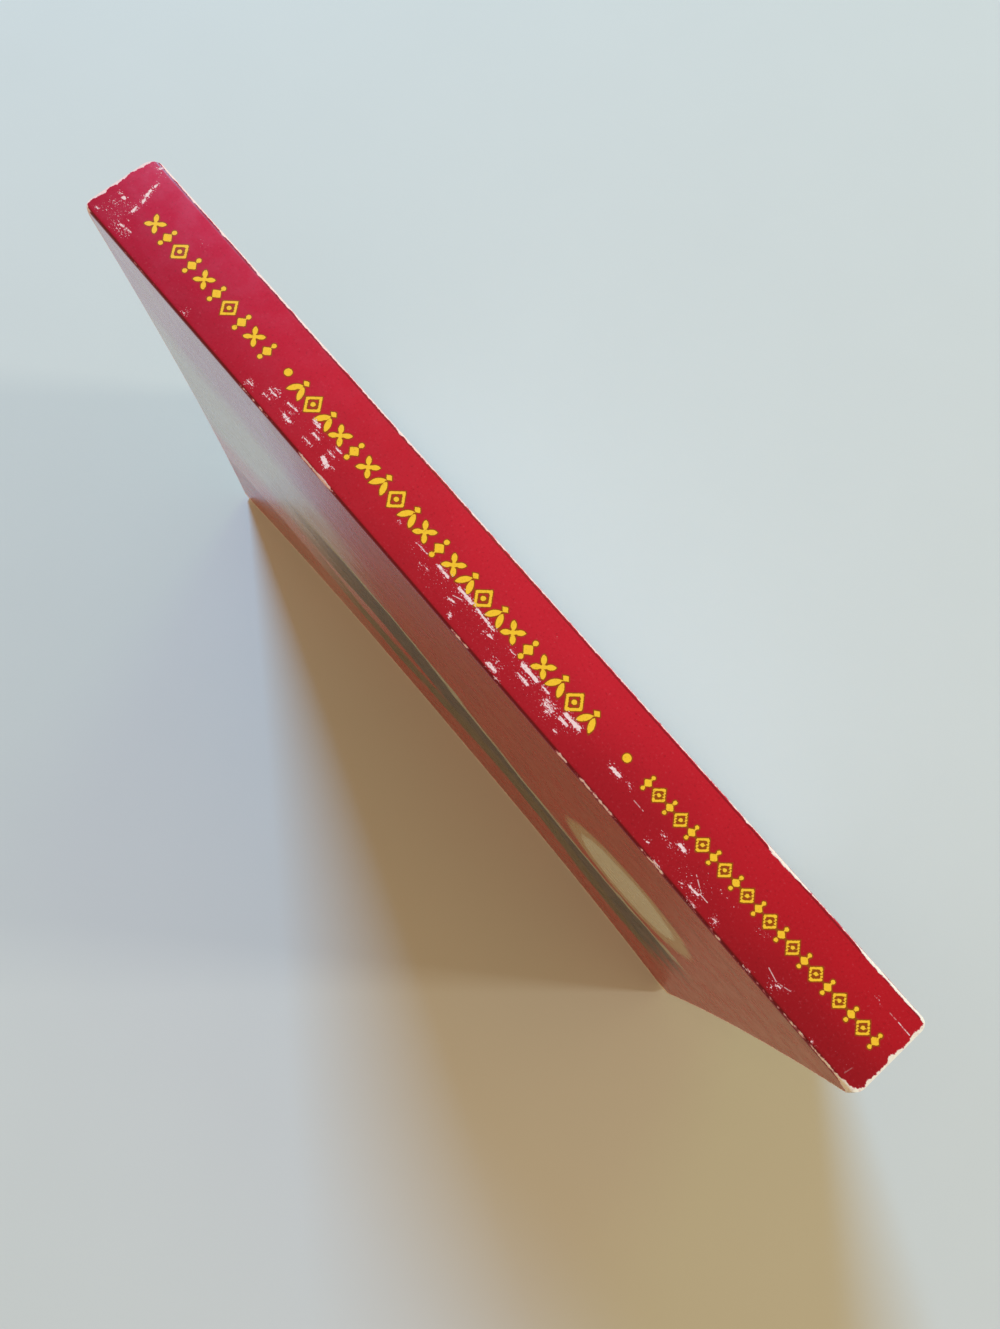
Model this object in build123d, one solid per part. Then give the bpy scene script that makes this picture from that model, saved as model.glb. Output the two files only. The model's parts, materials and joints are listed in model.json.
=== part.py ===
from build123d import *
import os

# A worn, perfect-bound paperback that stands on its fore edge with the spine up.
# X runs along the spine from head to tail, the back cover faces -Y, the front cover +Y.
# The origin is on the plane of the fore edge, below the middle of the spine.

# Trimmed book
spine_length = 216.0
book_depth = 140.0
spine_width = 17.6

# Cover card, folded round the leaves
card_thickness = 0.3
flange_width = 4.0
fold_radius = 0.8
crease_gap = 0.2
hinge_standoff = 0.1

# Adhesive between the card and the leaves
spine_glue_thickness = 0.4
side_glue_thickness = 0.3
side_glue_setback = 0.3
glue_corner_relief = 0.1

# How far the covers lean out at the fore edge, in its middle and at its two ends,
# and by how much less the leaves swell there
cover_flare_middle = 1.8
cover_flare_end = 4.0
leaf_relief_middle = 0.3
leaf_relief_end = 1.8
flare_exponent = 2.5

# How far the front cover stands open, in degrees
front_cover_angle = 12.5

# Wear: rounded corners of the card at the fore edge, blunted ends of the two folds
card_corner_radius = 1.6
fold_wear_radius = 3.2
fold_wear_depth = 9.0

# Leaves that have fanned at the fore edge, as groups with a wedge of air between them.
# Each wedge: place across half the block, share of the swell, reach from fore edge to crease.
fan_wedge_shares = [
    (-0.95, 0.07, 0.84),
    (-0.85, 0.06, 0.66),
    (-0.73, 0.06, 0.78),
    (-0.62, 0.05, 0.52),
    (-0.51, 0.07, 0.74),
    (-0.38, 0.05, 0.60),
    (-0.25, 0.06, 0.70),
    (-0.10, 0.05, 0.56),
    (0.05, 0.07, 0.80),
    (0.19, 0.05, 0.62),
    (0.30, 0.06, 0.72),
    (0.42, 0.07, 0.58),
    (0.55, 0.06, 0.76),
    (0.68, 0.06, 0.64),
    (0.80, 0.08, 0.82),
    (0.92, 0.08, 0.70),
]

# Which ends of the folds are worn: end along X, side along Y, share of the wear radius
fold_wear_shares = [
    (-1, 1, 1.0),
    (-1, -1, 0.6),
    (1, 1, 0.6),
    (1, -1, 0.7),
]

# Where the lofted sections stand, as shares of half the spine's length
station_shares = [-1.0, -0.85, -0.6, -0.3, 0.0, 0.3, 0.6, 0.85, 1.0]

# How far a cutting solid runs past what it cuts
cut_overrun = 1.0

# Worked out from the sizes above
half_length = spine_length / 2
half_spine = spine_width / 2
crease_height = book_depth - flange_width
panel_top = crease_height - crease_gap
hinge_height = crease_height - crease_gap / 2
hinge_offset = half_spine + hinge_standoff
card_inner = half_spine - card_thickness
half_block = card_inner - side_glue_thickness
glue_top = book_depth - card_thickness
block_top = glue_top - spine_glue_thickness
cut_share = 1 + cut_overrun / half_length


def rising(share, middle, end):
    """Size that grows from the middle of the fore edge to its ends, at a share of half its length."""
    return middle + (end - middle) * abs(share) ** flare_exponent


def cover_flare(share):
    """How far a cover leans out at the fore edge."""
    return rising(share, cover_flare_middle, cover_flare_end)


def leaf_swell(share):
    """How far the outermost leaf leans out at the fore edge."""
    return cover_flare(share) - rising(share, leaf_relief_middle, leaf_relief_end)


def section_face(share, edges):
    """Face across the book at one station: its edges are drawn in the book's Y and Z."""
    plane = Plane(origin=(share * half_length, 0, 0), x_dir=(0, 1, 0), z_dir=(1, 0, 0))
    return plane * make_face(edges)


def bowed(top, bottom):
    """Edge that leaves its top end upright and leans out ever more towards its bottom end."""
    return Bezier(top, (top[0], (top[1] + bottom[1]) / 2), bottom)


def block_section(share):
    """Outline of the leaves at one station: upright at the spine, swollen at the fore edge."""
    foot = half_block + leaf_swell(share)
    crown = block_top + cut_overrun
    return section_face(share, [
        Line((-half_block, crown), (half_block, crown)),
        Line((half_block, crown), (half_block, crease_height)),
        bowed((half_block, crease_height), (foot, 0)),
        Line((foot, 0), (foot, -cut_overrun)),
        Line((foot, -cut_overrun), (-foot, -cut_overrun)),
        Line((-foot, -cut_overrun), (-foot, 0)),
        bowed((-half_block, crease_height), (-foot, 0)),
        Line((-half_block, crease_height), (-half_block, crown)),
    ])


def wedge_section(share, place, reach, near_lean, far_lean):
    """Air between two groups of leaves at one station: a bowed wedge, open at the fore edge."""
    swell = leaf_swell(share)
    lean = (near_lean + far_lean) / 2
    apex_y = place + lean * swell * (1 - reach) ** 2
    apex_z = reach * crease_height
    bend_y = apex_y + lean * swell * (1 - reach) * reach
    near_foot = place + near_lean * swell
    far_foot = place + far_lean * swell
    quarter = (far_foot - near_foot) / 4
    return section_face(share, [
        Bezier((apex_y, apex_z), (bend_y - quarter, apex_z / 2), (near_foot, 0)),
        Line((near_foot, 0), (near_foot, -cut_overrun)),
        Line((near_foot, -cut_overrun), (far_foot, -cut_overrun)),
        Line((far_foot, -cut_overrun), (far_foot, 0)),
        Bezier((far_foot, 0), (bend_y + quarter, apex_z / 2), (apex_y, apex_z)),
    ])


def fan_wedges():
    """All wedges of air. Together they take up the swell, so the leaves keep their thickness."""
    wedges = []
    near_lean = -1.0
    for place_share, swell_share, reach in fan_wedge_shares:
        far_lean = near_lean + 2 * swell_share
        place = place_share * half_block
        wedges.append(loft([
            wedge_section(share * cut_share, place, reach, near_lean, far_lean)
            for share in station_shares
        ]))
        near_lean = far_lean
    return wedges


def worn_fold_end(end, side, radius):
    """What wear has taken off one end of a fold: a rounding that fades away from the spine."""
    corner_x = end * half_length
    corner_y = side * half_spine
    inner_x = corner_x - end * radius
    inner_y = corner_y - side * radius
    outer_x = corner_x + end * cut_overrun
    outer_y = corner_y + side * cut_overrun
    bend_share = 1 - 0.5 ** 0.5
    bend = (corner_x - end * radius * bend_share, corner_y - side * radius * bend_share)
    rim = make_face([
        ThreePointArc((inner_x, corner_y), bend, (corner_x, inner_y)),
        Line((corner_x, inner_y), (outer_x, inner_y)),
        Line((outer_x, inner_y), (outer_x, outer_y)),
        Line((outer_x, outer_y), (inner_x, outer_y)),
        Line((inner_x, outer_y), (inner_x, corner_y)),
    ])
    tip = Vertex(outer_x, outer_y, book_depth - fold_wear_depth)
    return loft([Plane.XY.offset(book_depth) * rim, tip])


def worn_fold_ends():
    """The wear at the ends of both folds."""
    return [
        worn_fold_end(end, side, fold_wear_radius * radius_share)
        for end, side, radius_share in fold_wear_shares
    ]


def channel(half_width, top, radius, foot):
    """Block as long as the spine, rounded along its two upper edges, that stands on a foot height."""
    outline = Pos(0, (top + foot) / 2) * Rectangle(2 * half_width, top - foot)
    upper_corners = outline.vertices().group_by(Axis.Y)[-1]
    if radius > 0:
        outline = fillet(upper_corners, radius)
    return extrude(Plane.YZ * outline, half_length, both=True)


def text_block():
    """Every leaf as one solid: milled flat at the spine, trimmed, and fanned at the fore edge."""
    leaves = loft([block_section(share) for share in station_shares])
    reach = half_block + leaf_swell(1) + cut_overrun
    trim = Pos(0, block_top / 2) * Rectangle(2 * reach, block_top)
    leaves = leaves & extrude(Plane.YZ * trim, half_length, both=True)
    return leaves - fan_wedges() - worn_fold_ends()


def spine_glue():
    """Adhesive across the back of the leaves, with a strip down each side under the flange."""
    foot = crease_height + side_glue_setback
    corner = fold_radius - card_thickness + glue_corner_relief
    filled = channel(card_inner, glue_top, corner, foot)
    leaves = channel(half_block, block_top, 0, foot - cut_overrun)
    return filled - leaves - worn_fold_ends()


def spine_cover():
    """Card of the spine, folded down each side into a glued flange that ends at the crease."""
    outside = channel(half_spine, book_depth, fold_radius, crease_height)
    inner_radius = fold_radius - card_thickness
    inside = channel(card_inner, glue_top, inner_radius, crease_height - cut_overrun)
    return outside - inside - worn_fold_ends()


def cover_section(share):
    """Card of the front cover at one station: upright at the crease, leaning out at the fore edge."""
    outer_foot = half_spine + cover_flare(share)
    inner_foot = card_inner + cover_flare(share)
    crown = panel_top + cut_overrun
    return section_face(share, [
        Line((half_spine, crown), (half_spine, panel_top)),
        bowed((half_spine, panel_top), (outer_foot, 0)),
        Line((outer_foot, 0), (outer_foot, -cut_overrun)),
        Line((outer_foot, -cut_overrun), (inner_foot, -cut_overrun)),
        Line((inner_foot, -cut_overrun), (inner_foot, 0)),
        bowed((card_inner, panel_top), (inner_foot, 0)),
        Line((card_inner, panel_top), (card_inner, crown)),
        Line((card_inner, crown), (half_spine, crown)),
    ])


def cover(side, opening):
    """One cover, from crease to fore edge, its outer corners worn round, open by an angle."""
    card = loft([cover_section(share) for share in station_shares])
    trim = Pos(0, panel_top / 2) * Rectangle(spine_length, panel_top)
    trim = fillet(trim.vertices().group_by(Axis.Y)[0], card_corner_radius)
    reach = half_spine + cover_flare(1) + cut_overrun
    card = card & extrude(Plane.XZ * trim, reach, both=True)
    if side < 0:
        card = mirror(card, Plane.XZ)
    card = card - worn_fold_ends()
    hinge = Axis((0, side * hinge_offset, hinge_height), (side, 0, 0))
    return card.rotate(hinge, opening)


parts = {
    "text_block": text_block(),
    "spine_glue": spine_glue(),
    "spine_cover": spine_cover(),
    "front_cover": cover(1, front_cover_angle),
    "back_cover": cover(-1, 0),
}

os.makedirs("parts", exist_ok=True)
for node, shape in parts.items():
    export_step(shape, f"parts/{node}.step")
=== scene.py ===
import json
import math

import bpy
import numpy as np
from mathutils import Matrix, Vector


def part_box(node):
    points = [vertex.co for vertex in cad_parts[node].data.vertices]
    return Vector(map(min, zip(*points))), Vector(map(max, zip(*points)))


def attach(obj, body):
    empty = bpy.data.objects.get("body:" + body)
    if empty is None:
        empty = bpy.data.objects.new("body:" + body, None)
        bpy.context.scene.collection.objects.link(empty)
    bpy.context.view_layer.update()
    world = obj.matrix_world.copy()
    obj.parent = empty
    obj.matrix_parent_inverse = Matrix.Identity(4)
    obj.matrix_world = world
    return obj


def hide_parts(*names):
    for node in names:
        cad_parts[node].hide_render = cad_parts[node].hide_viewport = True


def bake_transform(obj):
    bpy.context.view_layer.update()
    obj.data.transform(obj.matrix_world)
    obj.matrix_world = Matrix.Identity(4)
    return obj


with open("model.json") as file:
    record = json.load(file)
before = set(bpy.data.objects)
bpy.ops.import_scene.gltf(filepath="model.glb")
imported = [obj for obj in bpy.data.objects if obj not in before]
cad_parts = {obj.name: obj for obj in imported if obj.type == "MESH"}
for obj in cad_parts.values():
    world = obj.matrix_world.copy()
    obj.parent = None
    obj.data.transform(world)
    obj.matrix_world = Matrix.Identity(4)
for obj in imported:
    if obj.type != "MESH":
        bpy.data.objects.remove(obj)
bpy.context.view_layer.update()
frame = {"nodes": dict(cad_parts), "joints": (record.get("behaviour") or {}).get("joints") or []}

# A worn paperback that stands on its fore edge with the spine up. X runs along the spine from
# head to tail, the back cover faces -Y, the front cover +Y. Shapes and patterns are worked out
# in millimetres and turned into metres when a mesh is made.
MM = 0.001


def box_mm(node):
    """Lowest and highest corner of a solid of the frame, in millimetres."""
    low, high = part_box(node)
    return np.array(low) / MM, np.array(high) / MM


SPINE_LOW, SPINE_HIGH = box_mm("spine_cover")
BACK_LOW, BACK_HIGH = box_mm("back_cover")
_, BLOCK_HIGH = box_mm("text_block")
FRONT_HINGE = next(joint for joint in frame["joints"] if joint["child"] == "front_cover")

# The card, taken from the frame
HALF_LENGTH = SPINE_HIGH[0]
HALF_SPINE = SPINE_HIGH[1]
TOP = SPINE_HIGH[2]
CREASE = SPINE_LOW[2]
PANEL_TOP = BACK_HIGH[2]
FLARE_END = -BACK_LOW[1] - HALF_SPINE
HINGE_Y = FRONT_HINGE["pos_m"][1] / MM
HINGE_Z = FRONT_HINGE["pos_m"][2] / MM
FRONT_ANGLE = math.radians(-FRONT_HINGE["range_deg"][0])

# The card's sizes that the frame's boxes don't give, and the powers by which it leans out: along
# the spine towards both ends, and down from the crease
CARD = 0.3
FOLD_RADIUS = 0.8
FLARE_MIDDLE = 1.8
FLARE_POWER = 2.5
LEAN_POWER = 2
CORNER_RADIUS = 1.6

# Wear at the ends of the folds, worked out to just short of its full depth
FOLD_WEAR_RADIUS = 3.2
FOLD_WEAR_DEPTH = 9.0
FOLD_WEAR_OVERRUN = 1.0
FOLD_WEAR_SHARES = {(-1, 1): 1.0, (-1, -1): 0.6, (1, 1): 0.6, (1, -1): 0.7}
DEEPEST_SHARE = 0.999

# Length at each end of the book that takes up what wear has shortened there
END_REACH = 6.0

# Where the spine's piece meets those of the covers, how much the middle of the spine seems to
# stand proud of its folds, and the height over which a cover bends
SEAM = CREASE + 0.6
SPINE_CROWN = 0.12
HALF_BEND = 0.5
BEND_TOP = HINGE_Z + HALF_BEND
BEND_FOOT = HINGE_Z - HALF_BEND

# Distances across the card, measured over its outer face from the middle of the spine
FLAT_HALF = HALF_SPINE - FOLD_RADIUS
FOLD_END = FLAT_HALF + FOLD_RADIUS * math.pi / 2
FOLD_MIDDLE = (FLAT_HALF + FOLD_END) / 2
SEAM_ACROSS = FOLD_END + TOP - FOLD_RADIUS - SEAM
EDGE_ACROSS = FOLD_END + TOP - FOLD_RADIUS

# The leaves: how many, and how wide they stand at the spine and at the fore edge
LEAF_COUNT = 168
HALF_BLOCK = 8.2
BLOCK_TOP = BLOCK_HIGH[2]
SWELL_END = BLOCK_HIGH[1] - HALF_BLOCK
SWELL_MIDDLE = 1.5

# How they lie at the fore edge: usual gaps, groups that stand further apart, how unevenly they are
# trimmed, how far some are lifted and how high up that fades away
LEAF_SEED = 11
LEAF_GAPS = (0.3, 1.0)
GROUP_FIRST = 4
GROUP_SIZE = 10
GROUP_GAP = 9
TRIM_SWING = 0.08
LEAF_LIFT = 0.1
LIFT_REACH = 12

# Half the thickness of a leaf as a share of its room, and the step from one to the next in the
# noise that gives their shades
LEAF_FILL = 0.42
SHADE_STEP = 1.7

# Numbers of points in the grids of the spine, of a cover and of a leaf
SPINE_ALONG = 601
SPINE_FLAT = 55
SPINE_FOLD = 6
SPINE_SIDE = 5
COVER_BEND = 13
COVER_PANEL = 91
COVER_END = 9
COVER_ALONG = 99
LEAF_ALONG = 15
LEAF_FOOT = 4
LEAF_PANEL = 8

# Faces that meet at more than this have a sharp edge
SHARP_ANGLE = math.radians(40)

# Random values that a wandering line runs through
WANDER_COUNT = 4096


def flare(x, middle, end):
    """How far something leans out at the fore edge: more at the head and tail than between."""
    return middle + (end - middle) * np.abs(x / HALF_LENGTH) ** FLARE_POWER


def smooth(value):
    """Soft step from 0 to 1."""
    value = np.clip(value, 0, 1)
    return value * value * (3 - 2 * value)


def knots(x, points):
    """Straight lines through points given as (place, value)."""
    return np.interp(x, [p[0] for p in points], [p[1] for p in points])


def wander(x, pitch, seed):
    """Smooth random line between -1 and 1 that changes over a pitch."""
    values = np.random.default_rng(seed).uniform(-1, 1, WANDER_COUNT)
    place = np.asarray(x) / pitch + WANDER_COUNT / 2
    low = np.floor(place).astype(int)
    share = smooth(place - low)
    return values[low] * (1 - share) + values[low + 1] * share


def worn_inset(end, side, across_y, depth):
    """How much wear has shortened the book at an end, at a distance from its middle and a depth."""
    radius = FOLD_WEAR_RADIUS * FOLD_WEAR_SHARES[(end, side)]
    left = 1 - np.clip(depth / FOLD_WEAR_DEPTH, 0, DEEPEST_SHARE)
    reach = FOLD_WEAR_OVERRUN - (FOLD_WEAR_OVERRUN + HALF_SPINE - across_y) / left
    from_centre = np.clip(reach + radius, 0, radius)
    inset = radius - np.sqrt(radius ** 2 - from_centre ** 2)
    return np.maximum((FOLD_WEAR_OVERRUN + inset) * left - FOLD_WEAR_OVERRUN, 0)


def corner_inset(height):
    """How much the round corner at the fore edge shortens a cover, at a height."""
    left = np.clip(CORNER_RADIUS - height, 0, CORNER_RADIUS)
    return CORNER_RADIUS - np.sqrt(CORNER_RADIUS ** 2 - left ** 2)


def shortened(x, inset_head, inset_tail):
    """Places along the spine with both ends drawn in, which the last few millimetres take up."""
    inset = np.where(x < 0, inset_head, inset_tail)
    start = HALF_LENGTH - END_REACH
    past = np.maximum(np.abs(x) - start, 0)
    return np.sign(x) * (np.minimum(np.abs(x), start) + past * (END_REACH - inset) / END_REACH)


def card_point(side, x, across, depth):
    """Point of the closed card: along the spine, across over its outer face, below that face."""
    turn = np.clip((across - FLAT_HALF) / FOLD_RADIUS, 0, math.pi / 2)
    down = np.maximum(across - FOLD_END, 0)
    radius = FOLD_RADIUS - depth
    y = np.minimum(across, FLAT_HALF) + radius * np.sin(turn)
    z = TOP - FOLD_RADIUS + radius * np.cos(turn) - down
    inset_head = worn_inset(-1, side, y, TOP - z) + corner_inset(z)
    inset_tail = worn_inset(1, side, y, TOP - z) + corner_inset(z)
    x = shortened(x, inset_head, inset_tail)
    y = y + flare(x, FLARE_MIDDLE, FLARE_END) * np.clip(1 - z / PANEL_TOP, 0, 1) ** LEAN_POWER
    return np.stack([x, side * y, z], -1)


def opened(points, angle):
    """Points of the front cover turned about its hinge, with the bend spread over the crease."""
    share = smooth((BEND_TOP - points[..., 2]) / (BEND_TOP - BEND_FOOT))
    y = points[..., 1] - HINGE_Y
    z = points[..., 2] - HINGE_Z
    cos = np.cos(angle * share)
    sin = np.sin(angle * share)
    turned_y = HINGE_Y + y * cos - z * sin
    turned_z = HINGE_Z + y * sin + z * cos
    return np.stack([points[..., 0], turned_y, turned_z], -1)


# Kinds of face on a sheet, in the order of its materials
OUTER, INNER, CUT = 0, 1, 2


class Sheets:
    """A mesh of closed sheets, each between two grids of points."""

    def __init__(self):
        self.points = []
        self.faces = []
        self.kinds = []
        self.values = {}
        self.count = 0

    def add(self, outer, inner, **values):
        """One more sheet. Values are grids, or pairs of grids for the two faces, kept per point."""
        rows, columns = outer.shape[:2]
        index = np.arange(rows * columns).reshape(rows, columns)
        face = np.stack([index[:-1, :-1], index[1:, :-1], index[1:, 1:], index[:-1, 1:]], -1)
        face = face.reshape(-1, 4)
        loop = np.concatenate([index[:, 0], index[-1, 1:], index[-2::-1, -1], index[0, -2::-1]])
        start, end = loop[:-1], loop[1:]
        far = rows * columns
        rim = np.stack([end, start, start + far, end + far], -1)
        faces = np.concatenate([face, face[:, ::-1] + far, rim])
        points = np.concatenate([outer.reshape(-1, 3), inner.reshape(-1, 3)])
        corners = points[faces]
        cross = np.cross(corners[:, 1] - corners[:, 0], corners[:, 2] - corners[:, 0])
        if np.sum(cross * (corners[:, 0] - points.mean(0))) < 0:
            faces = faces[:, ::-1]
        self.points.append(points)
        self.faces.append(faces + self.count)
        self.kinds.append(np.repeat([OUTER, INNER, CUT], [len(face), len(face), len(rim)]))
        for name, value in values.items():
            pair = value if isinstance(value, tuple) else (value, value)
            flat = np.concatenate([np.asarray(v, float).reshape(far, -1) for v in pair])
            self.values.setdefault(name, []).append(flat)
        self.count += len(points)

    def piece(self, name, materials):
        """The Blender object, in metres, with a material for each kind of face."""
        mesh = bpy.data.meshes.new(name)
        mesh.from_pydata(np.concatenate(self.points) * MM, [], np.concatenate(self.faces).tolist())
        for value_name, parts in self.values.items():
            data = np.concatenate(parts)
            kind = "FLOAT_VECTOR" if data.shape[1] == 3 else "FLOAT"
            field = "vector" if data.shape[1] == 3 else "value"
            attribute = mesh.attributes.new(value_name, kind, "POINT")
            attribute.data.foreach_set(field, data.astype(np.float32).ravel())
        for material in materials:
            mesh.materials.append(material)
        mesh.polygons.foreach_set("material_index", np.concatenate(self.kinds).astype(np.int32))
        mesh.shade_smooth()
        mesh.set_sharp_from_angle(angle=SHARP_ANGLE)
        mesh.update()
        piece = bpy.data.objects.new(name, mesh)
        bpy.context.scene.collection.objects.link(piece)
        return piece


# Ornaments that stand in the place of print on the spine. Distances are in millimetres from the
# edge of the ink, below zero inside it. The numbers within a motif are shares of its size.
def ring_of(distance, width):
    """Outline of a shape, as wide as said, along the inside of its edge."""
    return np.abs(distance + width / 2) - width / 2


def lozenge(u, v, half_width, half_height):
    """Filled lozenge."""
    slope = half_width * half_height / math.hypot(half_width, half_height)
    return (np.abs(u) / half_width + np.abs(v) / half_height - 1) * slope


def dot(u, v, radius):
    """Filled round dot."""
    return np.hypot(u, v) - radius


def leaf(u, v, half_length, half_width, angle):
    """Pointed leaf, its length turned by an angle from upright."""
    along = u * math.sin(angle) + v * math.cos(angle)
    over = u * math.cos(angle) - v * math.sin(angle)
    radius = (half_length ** 2 + half_width ** 2) / (2 * half_width)
    shift = radius - half_width
    return np.maximum(np.hypot(along, over - shift), np.hypot(along, over + shift)) - radius


def framed_lozenge(u, v, size):
    """Open lozenge with a dot in it."""
    frame_line = ring_of(lozenge(u, v, 0.44 * size, 0.5 * size), 0.105 * size)
    return np.minimum(frame_line, dot(u, v, 0.105 * size))


def floret(u, v, size):
    """Four leaves about a dot."""
    shape = dot(u, v, 0.1 * size)
    for angle in (45, 135, 225, 315):
        turn = math.radians(angle)
        petal_u = u - 0.28 * size * math.sin(turn)
        petal_v = v - 0.28 * size * math.cos(turn)
        shape = np.minimum(shape, leaf(petal_u, petal_v, 0.22 * size, 0.11 * size, turn))
    return shape


def sprig(u, v, size):
    """Two leaves that lean apart over a lozenge."""
    shape = lozenge(u, v + 0.36 * size, 0.16 * size, 0.14 * size)
    for side in (-1, 1):
        leaf_u = u - side * 0.2 * size
        turn = math.radians(28 * side)
        shape = np.minimum(shape, leaf(leaf_u, v - 0.1 * size, 0.34 * size, 0.125 * size, turn))
    return shape


def pillar(u, v, size):
    """Lozenge between two dots, one over the other."""
    shape = lozenge(u, v, 0.26 * size, 0.24 * size)
    for height in (-0.38 * size, 0.38 * size):
        shape = np.minimum(shape, dot(u, v - height, 0.11 * size))
    return shape


# Each run of ornaments: where it starts and ends along the spine, its middle across, the size
# and pitch of its motifs, and which motifs follow each other
ORNAMENT_RUNS = [
    (-95.3, -59.3, -0.4, 4.5, 4.05, (floret, pillar, framed_lozenge, pillar)),
    (-49.1, 33.8, -0.5, 4.7, 4.2, (sprig, framed_lozenge, sprig, floret, pillar, floret)),
    (48.6, 104.0, -0.1, 3.4, 2.77, (pillar, framed_lozenge)),
]
ORNAMENT_DOTS = [(-53.2, 0.0, 0.8), (43.0, 0.0, 0.8)]
NO_INK = 2.0


def ornament_ink(x, across):
    """Distance to the edge of the nearest ornament."""
    ink = np.full(x.shape, NO_INK)
    for start, end, middle, size, pitch, motifs in ORNAMENT_RUNS:
        count = round((end - start) / pitch) + 1
        for number in range(count):
            u = x - start - number * (end - start) / (count - 1)
            v = -(across - middle)
            near = (np.abs(u) < size) & (np.abs(v) < size)
            motif = motifs[number % len(motifs)]
            ink[near] = np.minimum(ink[near], motif(u[near], v[near], size))
    for place, middle, radius in ORNAMENT_DOTS:
        ink = np.minimum(ink, dot(x - place, across - middle, radius))
    return ink


# Scuffs on the spine: middle along and across, length, width, turn in degrees, and the share of
# the film that is rubbed off
SCUFFS = [
    (-102.3, 4.9, 1.6, 0.65, -75, 0.78), (-101.8, 2.6, 2.4, 0.7, -72, 0.9),
    (-101, 0.9, 1.4, 0.7, -65, 0.85), (-100.6, -1.7, 2, 0.7, -75, 0.84),
    (-104, -1.65, 1.1, 0.8, 0, 0.85), (-105.4, -1.6, 0.9, 0.5, 0, 0.84),
    (-104.3, -3.55, 1.2, 0.35, 0, 0.8), (-98.3, -5.5, 3.4, 0.7, 10, 0.6),
    (-97.3, -5.1, 1.2, 0.3, 15, 0.7), (-105.6, -7, 1.2, 0.5, 0, 0.75),
    (-105, 7.7, 1.4, 0.8, 60, 0.6), (-99.3, -3.9, 1.4, 0.4, 10, 0.5),
    (-100.7, -7.8, 1, 0.4, 0, 0.5), (-76, -6.9, 1.2, 0.35, 0, 0.68),
    (-76, -7.8, 1.2, 0.35, 0, 0.7), (-56.6, -7, 0.9, 0.35, 80, 0.95),
    (-55.9, -6.75, 1.3, 0.35, 0, 0.95), (-55.3, -6.9, 0.6, 0.35, -60, 0.85),
    (-51.5, -3.9, 2, 0.4, 0, 0.8), (-51.6, -4.8, 2.4, 0.45, 0, 0.84),
    (-51.8, -6.1, 2.1, 0.45, 0, 0.84), (-47.1, -3.8, 3, 0.55, 8, 0.78),
    (-46.2, -4.8, 1.2, 0.3, 0, 0.72), (-45.8, -6, 2.6, 0.75, 0, 0.76),
    (-47.8, -5.9, 1.6, 0.3, 0, 0.5), (-41.4, -2.4, 2.4, 0.75, 0, 0.78),
    (-39.5, -4.05, 2.4, 0.7, 0, 0.74), (-40.1, -3.3, 1.8, 0.35, 0, 0.6),
    (-39.7, -5.95, 2.1, 0.5, 0, 0.8), (-34.5, -2.6, 1.9, 0.6, 0, 0.74),
    (-34.7, -4.05, 2.2, 0.55, 0, 0.7), (-34.3, -6, 3, 1.1, -14, 0.74),
    (-32.4, -5.6, 1.2, 0.4, 0, 0.6), (-16.1, -2.9, 0.9, 0.5, -60, 0.7),
    (-9.7, -2.85, 3.2, 0.45, 0, 0.66), (-7.5, -5.1, 1.1, 0.35, 0, 0.74),
    (-6.1, -4.75, 1.1, 0.35, -30, 0.74), (-3.8, -2.75, 3.4, 0.7, 0, 0.85),
    (2.3, -2.6, 4.6, 0.8, 0, 0.8), (8, -2.75, 5.6, 0.55, -3, 0.82),
    (1.3, -5.15, 1.8, 0.55, 20, 0.78), (3.3, -7.1, 1.5, 0.8, -40, 0.7),
    (10.9, -4.05, 1.5, 0.6, 15, 0.72), (9.6, -4.5, 0.7, 0.4, 0, 0.75),
    (15.7, -2.9, 1.7, 0.55, 0, 0.68), (15.4, -7.6, 3, 0.95, 0, 0.7),
    (16.7, -6.4, 0.9, 0.4, 40, 0.6), (17.5, -8.3, 1.4, 0.4, 0, 0.75),
    (20.5, -3.05, 4.6, 0.85, 0, 0.9), (20.7, -4.75, 3.4, 0.7, 0, 0.74),
    (24.8, -2.95, 2.2, 0.6, 0, 0.76), (27.3, -4.4, 3.2, 1.7, -20, 0.56),
    (27.8, -5.5, 1, 0.5, -70, 0.7), (32, -3.05, 4.4, 0.85, 0, 0.9),
    (31, -4.25, 2.6, 0.8, 0, 0.72), (31.4, -6.5, 1.3, 0.45, 0, 0.68),
    (43.5, -3.15, 2.8, 0.8, 0, 0.78), (41.6, -3, 0.9, 0.4, 0, 0.6),
    (46.9, -2.9, 1.6, 0.5, -20, 0.64), (56, -6.9, 0.9, 0.45, 30, 0.72),
    (60.5, -3.1, 2.1, 0.8, 0, 0.82), (57, -4.1, 1, 0.45, 0, 0.78),
    (58.9, -4.5, 0.8, 0.35, 0, 0.78), (67, -6.45, 2.6, 0.55, 3, 0.85),
    (64.8, -7.2, 0.7, 0.45, 0, 0.82), (72.7, -7, 1.3, 0.45, 0, 0.84),
    (73, -7.5, 0.9, 0.35, 90, 0.8), (80.3, -2.2, 1, 0.35, 45, 0.62),
    (87.5, -6.3, 1.1, 0.4, 20, 0.78), (86.8, -7.2, 0.8, 0.35, 90, 0.78),
    (89.2, -5.3, 0.8, 0.35, 45, 0.6), (99.8, 5.05, 0.6, 0.35, 0, 0.7),
    (59.6, -8.35, 1.4, 0.5, 0, 0.8), (68.2, -8.2, 2.6, 0.4, 0, 0.7),
    (82, -8.4, 1.9, 0.35, 0, 0.8), (97.3, -8, 0.8, 0.5, -30, 0.7),
]

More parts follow.
